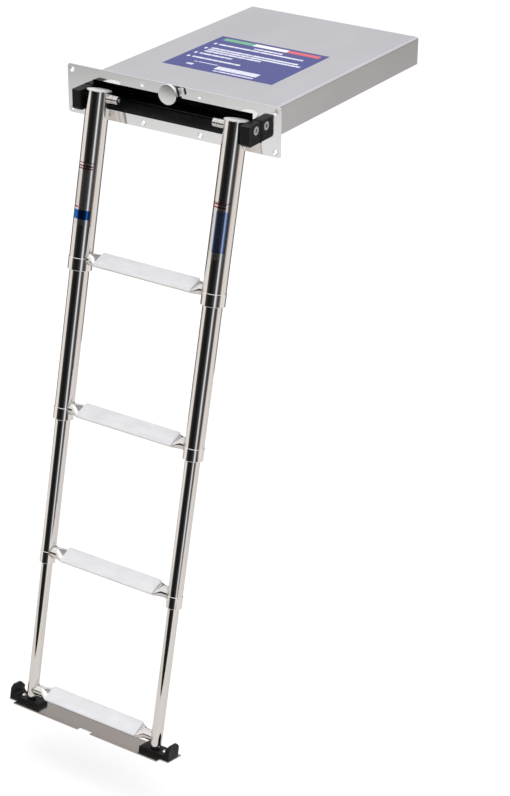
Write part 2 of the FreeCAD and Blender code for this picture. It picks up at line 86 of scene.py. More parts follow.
def leg_x(side):
    """Where a leg's centre line lies across the ladder."""
    return middle("outer_tube_" + side)[0]


def radius_of(node):
    """Half a leg part's width across the ladder, where the lean of the legs doesn't show."""
    low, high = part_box(node)
    return (high[0] - low[0]) / 2


def leg_span(node):
    """How far down the leg a round part starts and ends. Its height is the length times the cosine
    of the lean, plus the radius times the sine at each end."""
    low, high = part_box(node)
    lift = radius_of(node) * abs(UP_LEG[1])
    return (PIVOT[2] + lift - high[2]) / UP_LEG[2], (PIVOT[2] - lift - low[2]) / UP_LEG[2]


def on_leg(side, down):
    """The point on a leg's centre line at a distance below the pivot."""
    return PIVOT * (0, 1, 1) + ACROSS * leg_x(side) - UP_LEG * down


# ------------------------------------------------------------------ surfaces

MERGE_WITHIN = 0.002 * MM


def grid_piece(name, grid, body, finish, wrap_u=False, wrap_v=False, uv=None, closed=True):
    """A mesh over a grid of points, row by row, joined round where wrap says so.
    A closed piece has its poles merged and its faces turned outwards. An open one faces along
    the cross product of its column and row directions."""
    rows, columns = grid.shape[:2]
    index = np.arange(rows * columns).reshape(rows, columns)
    if wrap_u:
        index = np.vstack([index, index[:1]])
    if wrap_v:
        index = np.hstack([index, index[:, :1]])
    corners = [index[:-1, :-1], index[:-1, 1:], index[1:, 1:], index[1:, :-1]]
    quads = np.stack(corners, axis=-1).reshape(-1, 4)
    mesh = bpy.data.meshes.new(name)
    mesh.from_pydata(grid.reshape(-1, 3), [], quads.tolist())
    if uv is not None:
        layer = mesh.uv_layers.new(name="sheet")
        layer.data.foreach_set("uv", uv.reshape(-1, 2)[quads.ravel()].ravel())
    if closed:
        work = bmesh.new()
        work.from_mesh(mesh)
        bmesh.ops.remove_doubles(work, verts=work.verts, dist=MERGE_WITHIN)
        bmesh.ops.recalc_face_normals(work, faces=work.faces)
        work.to_mesh(mesh)
        work.free()
    mesh.shade_smooth()
    piece = bpy.data.objects.new(name, mesh)
    bpy.context.scene.collection.objects.link(piece)
    mesh.materials.append(finish)
    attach(piece, body)
    return piece


def soft_corners(points, steps=6):
    """A line through corners given as (along, out, corner radius), with each corner turned by an arc.
    The arc is the quadratic curve that leaves and meets the two sides a corner radius from it."""
    corners = np.array([point[:2] for point in points], float)
    sizes = [point[2] for point in points]
    line = [corners[:1]]
    t = np.linspace(0, 1, steps)[:, None]
    for i in range(1, len(corners) - 1):
        before, here, after = corners[i - 1:i + 2]
        start = here + (before - here) * min(1, sizes[i] / max(np.linalg.norm(before - here), 1e-9))
        end = here + (after - here) * min(1, sizes[i] / max(np.linalg.norm(after - here), 1e-9))
        line.append((1 - t) ** 2 * start + 2 * t * (1 - t) * here + t ** 2 * end)
    line.append(corners[-1:])
    return np.vstack(line)


def turned(profile, start, axis, sides=96):
    """A profile of (along, out) turned round an axis: start + along * axis + out * a unit circle."""
    axis = np.array(axis, float) / np.linalg.norm(axis)
    first = np.cross(axis, [0.3, 0.5, 0.81])
    first /= np.linalg.norm(first)
    second = np.cross(axis, first)
    angle = np.linspace(0, 2 * np.pi, sides, endpoint=False)[None, :, None]
    ring = first * np.cos(angle) + second * np.sin(angle)
    return start + profile[:, :1, None] * axis + profile[:, 1:, None] * ring


BEAD_SIDES = 10
BEAD_SWELL = 0.16


def bead_along(path, radius, ripples):
    """A weld bead round a closed path: a circle of the bead's radius carried along it, swelling
    and thinning with the sine of the ripple count times the angle round the path."""
    ahead = np.roll(path, -1, axis=0) - np.roll(path, 1, axis=0)
    ahead /= np.linalg.norm(ahead, axis=1, keepdims=True)
    out = path - path.mean(axis=0)
    out -= ahead * np.sum(out * ahead, axis=1, keepdims=True)
    out /= np.linalg.norm(out, axis=1, keepdims=True)
    side = np.cross(ahead, out)
    turn = np.linspace(0, 2 * np.pi, len(path), endpoint=False)
    swell = radius * (1 + BEAD_SWELL * np.sin(ripples * turn))[:, None, None]
    angle = np.linspace(0, 2 * np.pi, BEAD_SIDES, endpoint=False)[None, :, None]
    return path[:, None] + swell * (out[:, None] * np.cos(angle) + side[:, None] * np.sin(angle))


# ------------------------------------------------------------------ finishes

def linear(text):
    """An sRGB hex colour as linear red, green, blue and full opacity."""
    parts = np.array([int(text[i:i + 2], 16) / 255 for i in (1, 3, 5)])
    parts = np.where(parts <= 0.04045, parts / 12.92, ((parts + 0.055) / 1.055) ** 2.4)
    return (*parts.tolist(), 1.0)


def add(tree, kind, settings=None, **inputs):
    """Add a node. Settings are its own properties. Inputs are values, or (node, output) to link;
    an input is named by its socket with underscores for spaces, or by its number after an i."""
    node = tree.nodes.new("ShaderNode" + kind)
    for key, value in (settings or {}).items():
        setattr(node, key, value)
    for key, value in inputs.items():
        numbered = key[0] == "i" and key[1:].isdigit()
        socket = node.inputs[int(key[1:]) if numbered else key.replace("_", " ")]
        if isinstance(value, tuple) and isinstance(value[0], bpy.types.Node):
            tree.links.new(value[0].outputs[value[1]], socket)
        else:
            socket.default_value = value
    return node


def ramp(tree, factor, stops):
    """A straight colour ramp of (position, hex) stops on a factor."""
    node = add(tree, "ValToRGB", Fac=factor)
    marks = node.color_ramp.elements
    while len(marks) < len(stops):
        marks.new(0.5)
    for mark, (position, colour) in zip(marks, stops):
        mark.position = position
        mark.color = linear(colour)
    return node


def surface(name, colour, roughness, metallic=0.0, **more):
    """A material with one Principled shader. Returns the material, its nodes and the shader."""
    material = bpy.data.materials.new(name)
    material.use_nodes = True
    tree = material.node_tree
    shader = tree.nodes["Principled BSDF"]
    values = {"Base Color": linear(colour), "Roughness": roughness, "Metallic": metallic, **more}
    for key, value in values.items():
        shader.inputs[key].default_value = value
    return material, tree, shader


def pattern(tree, size_mm, **settings):
    """Noise on Object coordinates whose features are size_mm along each axis."""
    place = add(tree, "TexCoord")
    scaled = add(tree, "Mapping", Vector=(place, "Object"), Scale=[1 / (size * MM) for size in size_mm])
    return add(tree, "TexNoise", Vector=(scaled, "Vector"), Scale=1.0, **settings)


NOISE_LOW, NOISE_HIGH = 0.3, 0.7


def vary(tree, shader, socket, noise, low, high):
    """Spread noise between two values and feed it to one of the shader's sockets."""
    spread = add(tree, "MapRange", Value=(noise, "Fac"), From_Min=NOISE_LOW, From_Max=NOISE_HIGH,
                 To_Min=low, To_Max=high)
    tree.links.new(spread.outputs["Result"], shader.inputs[socket])


def roughen(tree, shader, noise, height_mm, strength=1.0):
    """Bump the surface by noise that stands a given height."""
    bump = add(tree, "Bump", Strength=strength, Distance=height_mm * MM, Height=(noise, "Fac"))
    tree.links.new(bump.outputs["Normal"], shader.inputs["Normal"])


def polished_stainless(name, colour, roughness, grain_mm):
    """Stainless steel buffed bright after drawing or cutting. The wheel leaves it almost a mirror,
    with faint streaks along the grain and a little haze that comes and goes."""
    material, tree, shader = surface(name, colour, roughness, metallic=1.0)
    streaks = pattern(tree, grain_mm, Detail=4.0, Roughness=0.6)
    vary(tree, shader, "Roughness", streaks, roughness * 0.6, roughness * 1.7)
    roughen(tree, shader, streaks, 0.002)
    return material


def satin_stainless(name, colour, roughness, grain_mm):
    """Stainless sheet with a belt-ground satin face: fine grit lines all one way, which spread the
    highlights across them. The real lines are about 0.1 mm apart and are drawn coarser to show."""
    material, tree, shader = surface(name, colour, roughness, metallic=1.0)
    lines = pattern(tree, grain_mm, Detail=6.0, Roughness=0.7)
    vary(tree, shader, "Roughness", lines, roughness * 0.8, roughness * 1.25)
    roughen(tree, shader, lines, 0.012)
    clouds = pattern(tree, (90, 140, 90), Detail=2.0)
    tone = add(tree, "Mix", {"data_type": "RGBA"}, Factor=(clouds, "Fac"), i6=linear(colour),
               i7=tuple(0.86 * part for part in linear(colour)))
    tree.links.new(tone.outputs[2], shader.inputs["Base Color"])
    return material


def weld_bead():
    """A brushed-off stainless weld: rippled, a little darker than the tube, and straw-coloured in
    places where the heat has tinted it."""
    material, tree, shader = surface("stainless_weld", "#B9B4AC", 0.28, metallic=1.0)
    heat = pattern(tree, (5, 5, 5), Detail=2.0)
    tone = ramp(tree, (heat, "Fac"), [(0.35, "#C4C0BA"), (0.7, "#A89C86")])
    tree.links.new(tone.outputs["Color"], shader.inputs["Base Color"])
    roughen(tree, shader, pattern(tree, (0.9, 0.9, 0.9), Detail=2.0), 0.05)
    return material


def black_moulded_nylon():
    """Glass-filled nylon, injection moulded: near black with a fine spark-eroded mould texture
    that gives a broad soft sheen, and slightly paler flow marks."""
    material, tree, shader = surface("moulded_black_nylon", "#060607", 0.42,
                                     **{"Specular IOR Level": 0.22})
    grit = pattern(tree, (0.7, 0.7, 0.7), Detail=3.0)
    roughen(tree, shader, grit, 0.06, 0.7)
    flow = pattern(tree, (18, 9, 14), Detail=2.0)
    vary(tree, shader, "Roughness", flow, 0.34, 0.52)
    return material


def white_moulded_plastic():
    """UV-stable white ABS, injection moulded: a clean white with a slight gloss from the mould,
    fine orange peel, and a trace of grey where feet have rubbed."""
    material, tree, shader = surface("moulded_white_abs", "#DEDEE0", 0.42, IOR=1.53)
    peel = pattern(tree, (1.6, 1.6, 1.6), Detail=2.0)
    roughen(tree, shader, peel, 0.03, 0.5)
    rub = pattern(tree, (34, 12, 12), Detail=4.0)
    tone = ramp(tree, (rub, "Fac"), [(0.4, "#E0E0E2"), (0.75, "#D6D6D7")])
    tree.links.new(tone.outputs["Color"], shader.inputs["Base Color"])
    return material


# By material slot, and two more: door_plate is a node whose sheet is brighter than its slot's, and
# weld is for the beads.
FINISH = {
    "polished_stainless": polished_stainless("mirror_stainless_plate", "#E6E6E6", 0.06, (1.2, 40, 40)),
    "tube_stainless": polished_stainless("drawn_stainless_tube", "#EAE7E4", 0.04, (3, 3, 60)),
    "collar_stainless": polished_stainless("turned_stainless_collar", "#F0EDEA", 0.05, (20, 20, 1)),
    "crossbar_stainless": polished_stainless("pressed_stainless_tube", "#DEDBD8", 0.08, (40, 2, 2)),
    "cap_stainless": satin_stainless("spun_stainless_cap", "#FFFFFE", 0.62, (2, 2, 2)),
    "knob_stainless": satin_stainless("turned_stainless_knob", "#ECECEC", 0.26, (0.8, 8, 0.8)),
    "hardware_stainless": polished_stainless("machined_stainless", "#CFCDCB", 0.16, (2, 6, 6)),
    # The folded sheet lies mostly inside the box. Its near-black colour is painted shade for the box's
    # dark inside, not the steel's own tone.
    "folded_stainless": satin_stainless("painted_shade_sheet", "#3A3A3C", 0.50, (1, 30, 1)),
    "door_plate": satin_stainless("ground_stainless_door", "#BDB6B1", 0.22, (30, 0.8, 0.8)),
    "satin_stainless": satin_stainless("ground_stainless_sheet", "#D6D6DA", 0.34, (0.8, 40, 0.8)),
    "black_nylon": black_moulded_nylon(),
    "guide_nylon": black_moulded_nylon(),
    "tread_plastic": white_moulded_plastic(),
    "weld": weld_bead(),
}


def finish_frame():
    """Give every part of the frame the finish of its node, or else that of its slot in the record."""
    for part in frame["record"]["subparts"]:
        for place in frame["nodes"][part["node"]].material_slots:
            place.material = FINISH.get(part["node"], FINISH[part["material_slot"]])


# ------------------------------------------------------------------ legs

SECTION_OF = {1: "section_1", 2: "section_2", 3: "section_3", 4: "section_4"}


COLLAR_WALL = 0.75 * MM
COLLAR_WAIST = 0.1 * MM
COLLAR_SINK = 0.1 * MM
COLLAR_LIP = 0.7 * MM
COLLAR_WAIST_SOFT = 9 * MM


def make_collars():
    """Turned rings at the foot of each section, with rounded lips and a slightly hollow waist."""
    for number in (1, 2, 3):
        for side in SIDES:
            node = f"collar_{number}_{side}"
            top, bottom = leg_span(node)
            out = radius_of(node)
            sunk = out - COLLAR_WALL - COLLAR_SINK
            profile = soft_corners([
                (-bottom, sunk, 0), (-bottom, out, COLLAR_LIP),
                (-(top + bottom) / 2, out - COLLAR_WAIST, COLLAR_WAIST_SOFT),
                (-top, out, COLLAR_LIP), (-top, sunk, 0)])
            grid = turned(profile, on_leg(side, 0), UP_LEG)
            piece = grid_piece(f"turned_collar_{number}_{side}", grid, SECTION_OF[number],
                               FINISH["collar_stainless"], wrap_u=True, wrap_v=True)
            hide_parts(node)


CAP_RIM_DROP = 2.5 * MM
CAP_PLUG_LENGTH = 1.5 * MM
CAP_PLUG_GAP = 2.6 * MM
CAP_PLUG_SOFT = 0.2 * MM
CAP_SHOULDER = 1.3 * MM
CAP_DOME_DROP = 0.25 * MM
CAP_DOME_INSET = 2.5 * MM
CAP_SOFT = (0.5 * MM, 1.2 * MM, 3 * MM)


def make_caps():
    """Spun caps: a short plug, then a rim round the tube's end, then a low dome."""
    for side in SIDES:
        node = f"tube_cap_{side}"
        out = radius_of(node)
        top = -leg_span(node)[0]
        rim = top - CAP_RIM_DROP
        foot = rim - CAP_PLUG_LENGTH
        plug = out - CAP_PLUG_GAP
        profile = soft_corners([
            (foot, 0, 0), (foot, plug, CAP_PLUG_SOFT), (rim, plug, CAP_PLUG_SOFT),
            (rim, out, CAP_SOFT[0]), (rim + CAP_SHOULDER, out, CAP_SOFT[1]),
            (top - CAP_DOME_DROP, out - CAP_DOME_INSET, CAP_SOFT[2]), (top, 0, 0)])
        piece = grid_piece(f"spun_cap_{side}", turned(profile, on_leg(side, 0), UP_LEG), "section_1",
                           FINISH["cap_stainless"], wrap_v=True)
        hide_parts(node)


SLEEVE_RADIUS = 7 * MM
SLEEVE_BEAD = 0.9 * MM


def make_sleeve_welds():
    """A bead where each pivot sleeve enters its tube. A point of the sleeve lies on the tube where x
    is the root of the tube's radius squared less the point's depth squared."""
    angle = np.linspace(0, 2 * np.pi, 96, endpoint=False)
    for side, sign in SIDES.items():
        tube = radius_of(f"outer_tube_{side}")
        depth, rise = SLEEVE_RADIUS * np.cos(angle), SLEEVE_RADIUS * np.sin(angle)
        for way, place in ((-sign, "inner"), (sign, "outer")):
            reach = way * np.sqrt(tube ** 2 - depth ** 2)
            path = on_leg(side, 0) + reach[:, None] * ACROSS + depth[:, None] * BEHIND_LEG
            path += rise[:, None] * UP_LEG
            grid = bead_along(path, SLEEVE_BEAD, ripples=22)
            grid_piece(f"sleeve_weld_{place}_{side}", grid, "section_1", FINISH["weld"],
                       wrap_u=True, wrap_v=True)


# ------------------------------------------------------------------ steps

BAR_ROUND_TO = 108 * MM
BAR_FLAT_FROM = 92 * MM
BAR_FLAT = (14.5 * MM, 4.0 * MM)
BAR_SQUARER = 0.45
BAR_RADIUS = {1: 10.0 * MM, 2: 10.0 * MM, 3: 10.0 * MM, 4: 8.8 * MM}
BAR_IN_WALL = 0.5 * MM
BAR_BEAD = 1.1 * MM


def step_axes(number):
    """A crossbar's middle, its slope from front to back, and the direction square to that."""
    back = np.array([0, math.cos(TREAD_TILT), math.sin(TREAD_TILT)])
    return middle(f"crossbar_{number}"), back, np.cross(ACROSS, back)


def end_grid(grid, points):
    """Close a run of rings with a point at each end."""
    poles = [np.broadcast_to(point, grid[0].shape)[None] for point in points]
    return np.concatenate([poles[0], grid, poles[1]])


def make_crossbars():
    """A round tube pressed flat between the legs. Its half width and half height go from the tube's
    radius to the flat's by the smooth step 3s^2 - 2s^3 of the distance along the squeeze, and the
    section is the superellipse |cos|^p, |sin|^p, which gets squarer with the same step. Each end is
    fish-mouthed to the leg: a point at depth d ends at the leg's line less the root of R^2 - d^2,
    and half a millimetre into the wall."""
    angle = np.linspace(0, 2 * np.pi, 72, endpoint=False)
    for number in SECTION_OF:
        node = f"crossbar_{number}"
        centre, back, square = step_axes(number)
        rounded = BAR_RADIUS[number]
        ring = rounded * (np.cos(angle)[:, None] * back + np.sin(angle)[:, None] * square)
        leg = leg_x("right")
        tube = radius_of(f"collar_{number}_right" if number < 4 else "tube_4_right")
        mouth = leg - np.sqrt(tube ** 2 - (ring @ BEHIND_LEG) ** 2) + BAR_IN_WALL
        straight = BAR_ROUND_TO + np.linspace(1, 0, 6)[:-1, None] * (mouth - BAR_ROUND_TO)
        squeeze = np.linspace(BAR_ROUND_TO, BAR_FLAT_FROM, 26)[:, None] + 0 * mouth
        pressed = np.linspace(BAR_FLAT_FROM, 0, 4)[1:-1, None] + 0 * mouth
        half = np.concatenate([straight, squeeze, pressed])
        x = np.concatenate([-half, half[::-1]])
        s = np.clip((BAR_ROUND_TO - abs(x)) / (BAR_ROUND_TO - BAR_FLAT_FROM), 0, 1)
        s = 3 * s ** 2 - 2 * s ** 3
        power = 1 - BAR_SQUARER * s
        y, z = ((rounded + (flat - rounded) * s) * np.sign(wave) * abs(wave) ** power
                for flat, wave in zip(BAR_FLAT, (np.cos(angle), np.sin(angle))))
        grid = centre + x[..., None] * ACROSS + y[..., None] * back + z[..., None] * square
        ends = [centre + sign * (leg - tube + BAR_IN_WALL) * ACROSS for sign in (-1, 1)]
        piece = grid_piece(f"pressed_crossbar_{number}", end_grid(grid, ends), SECTION_OF[number],
                           FINISH["crossbar_stainless"], wrap_v=True)
        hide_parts(node)
        for side, sign in SIDES.items():
            path = centre + ring + sign * (mouth[:, None] - BAR_IN_WALL) * ACROSS
            bead = bead_along(path, BAR_BEAD, ripples=24)
            grid_piece(f"crossbar_weld_{number}_{side}", bead, SECTION_OF[number], FINISH["weld"],
                       wrap_u=True, wrap_v=True)


TREAD_RIBS = 9
TREAD_HALF_DEPTH = 16 * MM
TREAD_TOP, TREAD_BOTTOM = 7 * MM, 1.6 * MM
TREAD_SOFT = 1.6 * MM
TREAD_END = 3 * MM
TREAD_END_SHRINK = 0.8
RIB_WAVE = 0.3 * MM
RIB_MARGIN = 3.2 * MM
EDGE_IN, EDGE_DROP = 3 * MM, 0.4 * MM


def make_treads():
    """Moulded treads. Across the ladder the slab keeps one section, which runs from under the front
    edge, over the ribs (a low cosine ripple along the top) and back under the rear edge. Over the
    last few millimetres it shrinks by c - sqrt(c^2 - d^2), as a quarter circle of radius c does."""
    wide, cut = TREAD_HALF_DEPTH, TREAD_END
    edge = soft_corners([(0, TREAD_BOTTOM, 0), (wide, TREAD_BOTTOM, TREAD_SOFT),
                         (wide, TREAD_TOP - EDGE_DROP, TREAD_SOFT),
                         (wide - EDGE_IN, TREAD_TOP - RIB_WAVE, TREAD_SOFT)], steps=5)
    ribbed = wide - RIB_MARGIN
    across = np.linspace(ribbed, -ribbed, 140)
    ribs = TREAD_TOP - RIB_WAVE + RIB_WAVE * np.cos(across / ribbed * np.pi * TREAD_RIBS)
    section = np.vstack([edge, np.stack([across, ribs], axis=1), edge[:0:-1] * (-1, 1)])
    middle_height = (TREAD_TOP + TREAD_BOTTOM) / 2
    rise = section[:, 1] - middle_height
    for number in SECTION_OF:
        node = f"tread_{number}"
        centre, back, square = step_axes(number)
        half = (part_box(node)[1][0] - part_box(node)[0][0]) / 2
        tip = half - cut * (1 - np.cos(np.linspace(0, np.pi / 2, 10)))
        x = np.concatenate([-tip, [0], tip[::-1]])
        inset = np.clip(abs(x) - (half - cut), 0, cut)
        shrink = (cut - np.sqrt(np.maximum(cut ** 2 - inset ** 2, 0)))[:, None]
        y = np.sign(section[:, 0]) * np.maximum(abs(section[:, 0]) - shrink, 0)
        z = middle_height + np.sign(rise) * np.maximum(abs(rise) - TREAD_END_SHRINK * shrink, 0)
        grid = centre + x[:, None, None] * ACROSS + y[..., None] * back + z[..., None] * square
        ends = [centre + sign * half * ACROSS + middle_height * square for sign in (-1, 1)]
        piece = grid_piece(f"moulded_tread_{number}", end_grid(grid, ends), SECTION_OF[number],
                           FINISH["tread_plastic"], wrap_v=True)
        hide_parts(node)


# ------------------------------------------------------------------ latch and box

KNOB_DISC = 6 * MM
KNOB_HUB = 6 * MM
KNOB_DOME = 0.2 * MM


def make_knob():
    """A turned knob: a faintly domed face with a rounded rim, and a hub that meets the tongue."""
    low, high = (np.array(corner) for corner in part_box("latch_knob"))
    centre, out = (low + high) / 2, (high[0] - low[0]) / 2
    front, back = low[1], high[1]
    profile = soft_corners([
        (front, 0, 0), (front + KNOB_DOME, out, 1.8 * MM), (front + KNOB_DISC, out, 1.2 * MM),
        (front + KNOB_DISC, KNOB_HUB, 1.5 * MM), (back, KNOB_HUB, 0.3 * MM), (back, 0, 0)])
    grid = turned(profile, centre * (1, 0, 1), (0, 1, 0), sides=128)
    piece = grid_piece("turned_latch_knob", grid, "latch", FINISH["knob_stainless"],
                       wrap_v=True)
    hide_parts("latch_knob")


TACKS = 5
TACK_SPREAD = 0.8
TACK_BEAD = 1.4 * MM
TACK_HALF = (11 * MM, 0.4 * MM)
TACK_Y = 0.5 * MM


def make_box_welds():
    """Tack beads that hold the box to the back of the flange: each follows a thin ellipse, with the
    cosine of the turn along the corner and its sine away from the flange."""
    low, high = (np.array(corner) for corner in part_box("box_shell"))
    turn = np.linspace(0, 2 * np.pi, 48, endpoint=False)
    for number, x in enumerate(np.linspace(low[0] * TACK_SPREAD, high[0] * TACK_SPREAD, TACKS), start=1):
        for place, z in (("top", high[2]), ("bottom", low[2])):
            path = np.array([x, TACK_Y, z]) + np.outer(np.cos(turn), (TACK_HALF[0], 0, 0))
            path += np.outer(np.sin(turn), (0, TACK_HALF[1], 0))
            grid_piece(f"box_tack_{place}_{number}", bead_along(path, TACK_BEAD, ripples=30), "box",
                       FINISH["weld"], wrap_u=True, wrap_v=True)


# ------------------------------------------------------------------ labels

def sheet_axes(tree):
    """A film's own left-to-right and bottom-to-top coordinates, which place each printed field."""
    sheet = add(tree, "UVMap", {"uv_map": "sheet"})
    axes = add(tree, "SeparateXYZ", Vector=(sheet, "UV"))
    return (axes, "X"), (axes, "Y")


def between(tree, value, low, high):
    """One where the value lies between low and high, otherwise nought."""
    above = add(tree, "Math", {"operation": "GREATER_THAN"}, i0=value, i1=low)
    below = add(tree, "Math", {"operation": "LESS_THAN"}, i0=value, i1=high)
    return add(tree, "Math", {"operation": "MULTIPLY"}, i0=(above, 0), i1=(below, 0)), 0


def both(tree, *masks):
    """One where every mask is one, otherwise nought."""
    found = masks[0]
    for mask in masks[1:]:
        found = add(tree, "Math", {"operation": "MULTIPLY"}, i0=found, i1=mask), 0
    return found


def overprint(tree, under, mask, colour):
    """Lay a colour over another where the mask is one. It is hex, linear values or a linked output."""
    top = linear(colour) if isinstance(colour, str) else colour
    node = add(tree, "Mix", {"data_type": "RGBA"}, Factor=mask, i6=under, i7=top)
    return node, 2


INK_OVER = 0.44


def marks(tree, across, size):
    """Short uneven dashes along a row, which stand for words: one where noise is over a limit."""
    scaled = add(tree, "CombineXYZ", X=across)
    stretched = add(tree, "Mapping", Vector=(scaled, 0), Scale=(size, 1, 1))
    noise = add(tree, "TexNoise", Vector=(stretched, 0), Scale=1.0, Detail=3.0, Roughness=0.9)
    return add(tree, "Math", {"operation": "GREATER_THAN"}, i0=(noise, "Fac"), i1=INK_OVER), 0


LABEL_GROUND = "#454988"
# Rows of the instruction label: bottom, top, left end, right end and how fine its dashes are.
LABEL_ROWS = (
    (0.045, 0.07, 0.44, 0.80, 60), (0.10, 0.19, 0.42, 0.80, 300), (0.10, 0.14, 0.16, 0.22, 60),
    (0.20, 0.215, 0.18, 0.40, 12), (0.30, 0.335, 0.10, 0.54, 50), (0.42, 0.455, 0.10, 0.40, 50),
    (0.50, 0.535, 0.10, 0.62, 60), (0.555, 0.59, 0.10, 0.95, 60), (0.61, 0.645, 0.10, 0.90, 60),
    (0.74, 0.775, 0.10, 0.88, 60), (0.80, 0.835, 0.40, 0.66, 40),
)
# Heights of its bullets, their half height, and their left and right ends.
LABEL_DOTS = (0.315, 0.435, 0.60, 0.76)
DOT_HALF = 0.02
DOT_ENDS = (0.055, 0.075)
# Its colour stripes: bottom and top, then each one's left end, right end and colour.
STRIPE_HEIGHTS = (0.885, 0.955)
LABEL_STRIPES = ((0.06, 0.345, "#6FB08A"), (0.345, 0.655, "#F4F4F8"), (0.655, 0.95, "#D7606E"))


def instruction_film():
    """The label on the box: vinyl film printed in flat inks under a satin clear coat. It is blue, with
    three colour stripes along its rear edge and rows of short marks that stand for its text."""
    material, tree, shader = surface("printed_vinyl_instructions", LABEL_GROUND, 0.45,
                                     **{"Specular IOR Level": 0.3})
    u, v = sheet_axes(tree)
    shown = linear(LABEL_GROUND)
    for low, high, left, right, fine in LABEL_ROWS:
        row = both(tree, between(tree, v, low, high), between(tree, u, left, right),
                   marks(tree, u, fine))
        shown = overprint(tree, shown, row, "#E4E5F2")
    for height in LABEL_DOTS:
        dot = both(tree, between(tree, v, height - DOT_HALF, height + DOT_HALF),
                   between(tree, u, *DOT_ENDS))
        shown = overprint(tree, shown, dot, "#F2F2FA")
    for left, right, colour in LABEL_STRIPES:
        stripe = both(tree, between(tree, v, *STRIPE_HEIGHTS), between(tree, u, left, right))
        shown = overprint(tree, shown, stripe, colour)
    tree.links.new(shown[0].outputs[shown[1]], shader.inputs["Base Color"])
    return material


# Fields of the film round each outer tube: start and end as fractions of its height from the top,
# left and right ends, and colour.
TUBE_FIELDS = {
    "left": [(0.0, 0.012, 0, 1, "#8E5A5C"), (0.05, 0.07, 0.1, 0.9, "#8A2C34"),
             (0.09, 0.11, 0.1, 0.9, "#8A2C34"), (0.70, 0.73, 0.1, 0.4, "#C0454C"),
             (0.76, 0.91, 0, 1, "#1E62B4")],
    "right": [(0.0, 0.012, 0, 1, "#8E5A5C"), (0.02, 0.045, 0, 0.8, "#A02C38"),
              (0.075, 0.10, 0, 0.8, "#A02C38"), (0.15, 0.88, 0.40, 1, "#98ABD8")],
}
FIELD_MARGIN = 0.01
# Its lines of small print: start and end as above, and ink, then how many lines fill the film's
# height, the part of each that is inked, and their left and right ends.
TUBE_MARKS = {"left": (0.14, 0.68, "#8A8684"), "right": (0.20, 0.86, "#B8B6CC")}
LINES = 40.0
LINE_INKED = (0.3, 0.7)
LINE_ENDS = (0.04, 0.30)


def clear_film(side):
    """Printed clear film on a bright tube: the steel shines through it, tinted by the inks, which also
    scatter a little light of their own, so it is drawn as a slightly milky metal."""
    material, tree, shader = surface(f"printed_clear_film_{side}", "#EAE7E4", 0.06, metallic=0.98)
    u, v = sheet_axes(tree)
    shown = linear("#E2DFDC")
    for top, bottom, left, right, colour in TUBE_FIELDS[side]:
        field = both(tree, between(tree, v, 1 - bottom, 1 - top),
                     between(tree, u, left - FIELD_MARGIN, right + FIELD_MARGIN))
        shown = overprint(tree, shown, field, colour)
    top, bottom, ink = TUBE_MARKS[side]
    rows = add(tree, "Math", {"operation": "MULTIPLY"}, i0=v, i1=LINES)
    rows = add(tree, "Math", {"operation": "FRACT"}, i0=(rows, 0))
    lines = both(tree, between(tree, v, 1 - bottom, 1 - top), between(tree, (rows, 0), *LINE_INKED),
                 between(tree, u, *LINE_ENDS))
    shown = overprint(tree, shown, lines, ink)
    tree.links.new(shown[0].outputs[shown[1]], shader.inputs["Base Color"])
    return material


def sheet_uv(rows, columns):
    """Left to right and bottom to top, each from nought to one, on a grid of rows by columns."""
    return np.stack(np.meshgrid(np.linspace(0, 1, columns), np.linspace(0, 1, rows)), axis=-1)


LABEL_CORNER = (-0.108, 0.128)
LABEL_SIZE = (0.210, 0.180)
BOX_FILM_LIFT = 0.03 * MM
TUBE_FILM_LIFT = 0.04 * MM
TUBE_FILM_SPAN = {"left": (104 * MM, 205 * MM), "right": (116 * MM, 205 * MM)}
TUBE_FILM_HALF_ANGLE = math.radians(56)


def make_box_label():
    """A flat film on the box: its points are the corner plus u and v times its sides."""
    corner = np.array([*LABEL_CORNER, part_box("box_shell")[1][2] + BOX_FILM_LIFT])
    width, depth = LABEL_SIZE
    uv = sheet_uv(3, 3)
    grid = corner + uv[..., :1] * (width, 0, 0) + uv[..., 1:] * (0, depth, 0)
    grid_piece("instruction_label", grid, "box", instruction_film(), uv=uv, closed=False)


def make_tube_labels():
    """Film round the front of each outer tube: at an angle a from straight ahead, a point is the
    radius times (sin a across, cos a in front) from the leg's line, at its distance down the leg."""
    for side, (start, end) in TUBE_FILM_SPAN.items():
        uv = sheet_uv(24, 48)
        angle = TUBE_FILM_HALF_ANGLE * (2 * uv[..., :1] - 1)
        down = end + (start - end) * uv[..., 1:]
        out = radius_of(f"outer_tube_{side}") + TUBE_FILM_LIFT
        round_tube = np.sin(angle) * ACROSS - np.cos(angle) * BEHIND_LEG
        grid = on_leg(side, 0) - down * UP_LEG + out * round_tube
        grid_piece(f"tube_label_{side}", grid, "section_1", clear_film(side), uv=uv,
                   closed=False)


# ------------------------------------------------------------------ studio

CAMERA_PLACE = (1.7122, -2.4605, 1.0022)
CAMERA_AZIMUTH = math.radians(32.274)
CAMERA_DOWN = math.radians(26.642)
CAMERA_ROLL = math.radians(0.632)
LENS_MM = 91.04


def place_camera():
    """The camera's axes are the level right-hand direction and its square, rolled by a small angle."""
    ahead = Vector((-math.sin(CAMERA_AZIMUTH) * math.cos(CAMERA_DOWN),
                    math.cos(CAMERA_AZIMUTH) * math.cos(CAMERA_DOWN), -math.sin(CAMERA_DOWN)))
    level = Vector((math.cos(CAMERA_AZIMUTH), math.sin(CAMERA_AZIMUTH), 0))
    upright = level.cross(ahead)
    right = math.cos(CAMERA_ROLL) * level + math.sin(CAMERA_ROLL) * upright
    up = right.cross(ahead)
    data = bpy.data.cameras.new("camera")
    data.lens = LENS_MM
    data.sensor_width = 36
    camera = bpy.data.objects.new("camera", data)
    turn = Matrix((right, up, -ahead)).transposed().to_4x4()
    camera.matrix_world = Matrix.Translation(CAMERA_PLACE) @ turn
    bpy.context.scene.collection.objects.link(camera)
    bpy.context.scene.camera = camera


